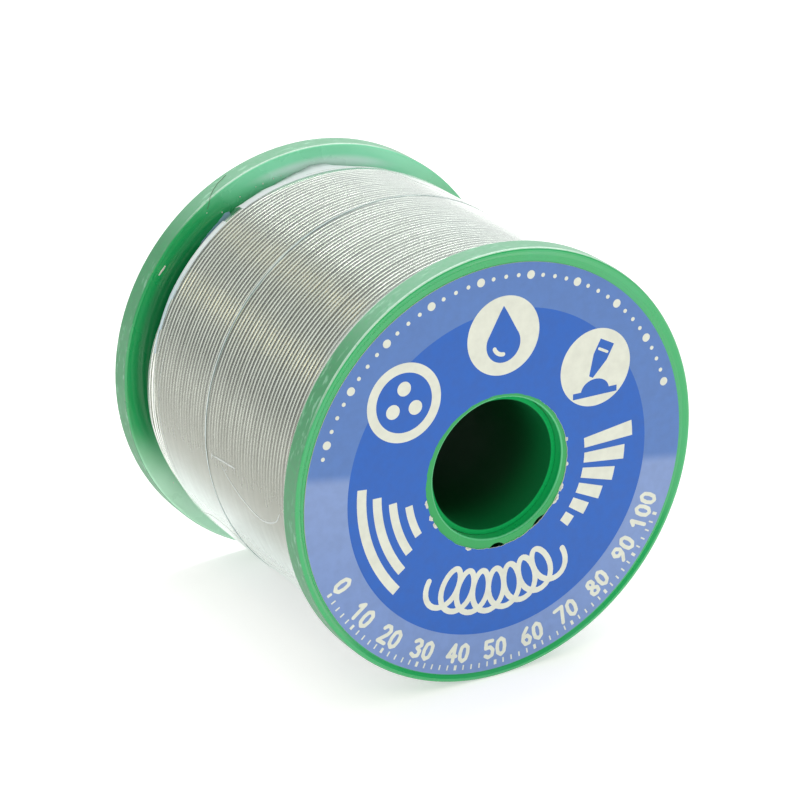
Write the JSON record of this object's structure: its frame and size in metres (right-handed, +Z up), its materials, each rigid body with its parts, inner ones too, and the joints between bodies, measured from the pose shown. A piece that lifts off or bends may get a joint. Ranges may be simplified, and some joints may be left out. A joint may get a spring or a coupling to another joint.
{
  "type": "solder wire spool",
  "caption": "Flanged plastic spool wound full of flux-cored solder wire, with a ring label on one flange, a clear film round the winding and a bore for a spindle.",
  "frame": {"origin": "middle of the bore, halfway between the two flanges", "axes": "+Y along the spool's axis, from the labelled front flange to the bare rear flange; +Z up, with the spool lying on its two rims"},
  "size_m": [0.0636, 0.0552, 0.0636],
  "materials": {
    "spool_plastic": "moulded green plastic, semi-gloss",
    "core_plastic": "moulded green plastic, matte",
    "label_paper": "two-tone blue printed paper",
    "solder": "soft drawn solder wire, satin",
    "flux": "amber rosin",
    "film": "clear stretch film"
  },
  "bodies": {
    "root": {"front_flange": "spool_plastic", "rear_flange": "spool_plastic", "core": "core_plastic", "front_label": "label_paper", "solder_inner_layers": "solder", "solder_outer_turns": "solder", "wire_start": "solder", "flux_core": "flux", "film_wrap": "film"}
  },
  "joints": []
}
